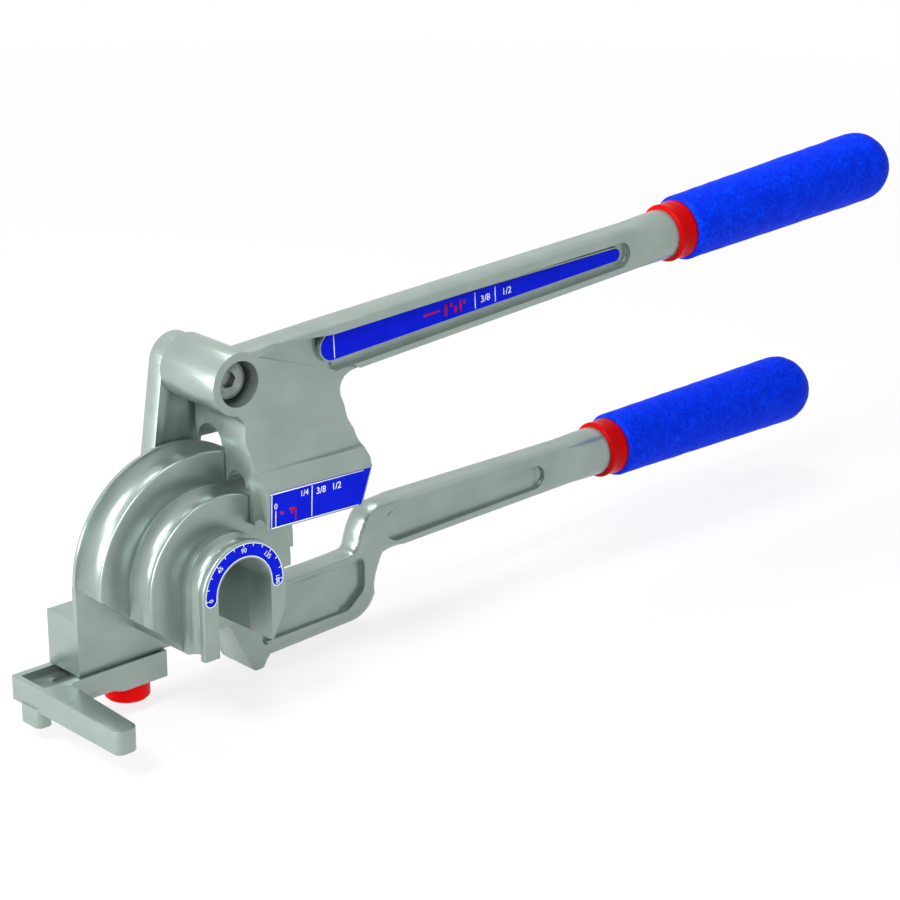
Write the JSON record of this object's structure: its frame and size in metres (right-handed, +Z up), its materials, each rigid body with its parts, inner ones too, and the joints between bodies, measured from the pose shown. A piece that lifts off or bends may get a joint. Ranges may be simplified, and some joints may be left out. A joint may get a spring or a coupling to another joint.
{
  "type": "tube bender",
  "caption": "Hand tube bender with a stepped three-groove forming wheel, a matching grooved shoe on a long handle, a swinging link and a sliding tube hook.",
  "frame": {"origin": "bend axis where it meets the front face of the smallest forming wheel", "axes": "+X along the fixed handle away from the wheels, +Y along the bend axis from the front towards the back, +Z up"},
  "size_m": [0.3975, 0.0653, 0.1492],
  "materials": {
    "casting": "satin",
    "label_blue": "satin",
    "red_plastic": "gloss",
    "blue_grip": "satin",
    "steel": "satin",
    "bronze": "satin",
    "brass": "satin"
  },
  "bodies": {
    "form": {"form_casting": "casting", "wheel_small": "casting", "wheel_middle": "casting", "degree_scale": "label_blue", "form_sleeve": "red_plastic", "form_grip": "blue_grip", "pivot_bolt": "steel", "thrust_washer": "bronze", "pivot_washer": "steel", "pivot_nut": "steel", "stud_insert": "brass"},
    "link": {"link_bar": "casting", "link_bush": "bronze", "shoe_bolt": "steel"},
    "shoe_handle": {"shoe_casting": "casting", "shoe_bar": "casting", "boss_bush": "bronze", "shoe_scale": "label_blue", "handle_scale": "label_blue", "shoe_sleeve": "red_plastic", "shoe_grip": "blue_grip"},
    "hook": {"hook_casting": "casting"},
    "knob": {"knob_washer": "steel", "knob": "red_plastic", "knob_stud": "steel"}
  },
  "joints": [
    {"name": "link_swing", "type": "hinge", "parent": "form", "child": "link", "pos_m": [0, 0.045, 0], "axis": [0, 1, 0], "range_deg": [-98.6, 81.4]},
    {"name": "handle_pivot", "type": "hinge", "parent": "link", "child": "shoe_handle", "pos_m": [0.01011, 0.03, 0.06684], "axis": [0, 1, 0], "range_deg": [-110, 6.4]},
    {"name": "hook_slide", "type": "slide", "parent": "form", "child": "hook", "axis": [1, 0, 0], "range_m": [-0.0013, 0.0273]},
    {"name": "knob_turn", "type": "hinge", "parent": "form", "child": "knob", "pos_m": [-0.016, 0.04698, -0.045], "axis": [0, 0, 1], "range_deg": [-120, 120]}
  ]
}
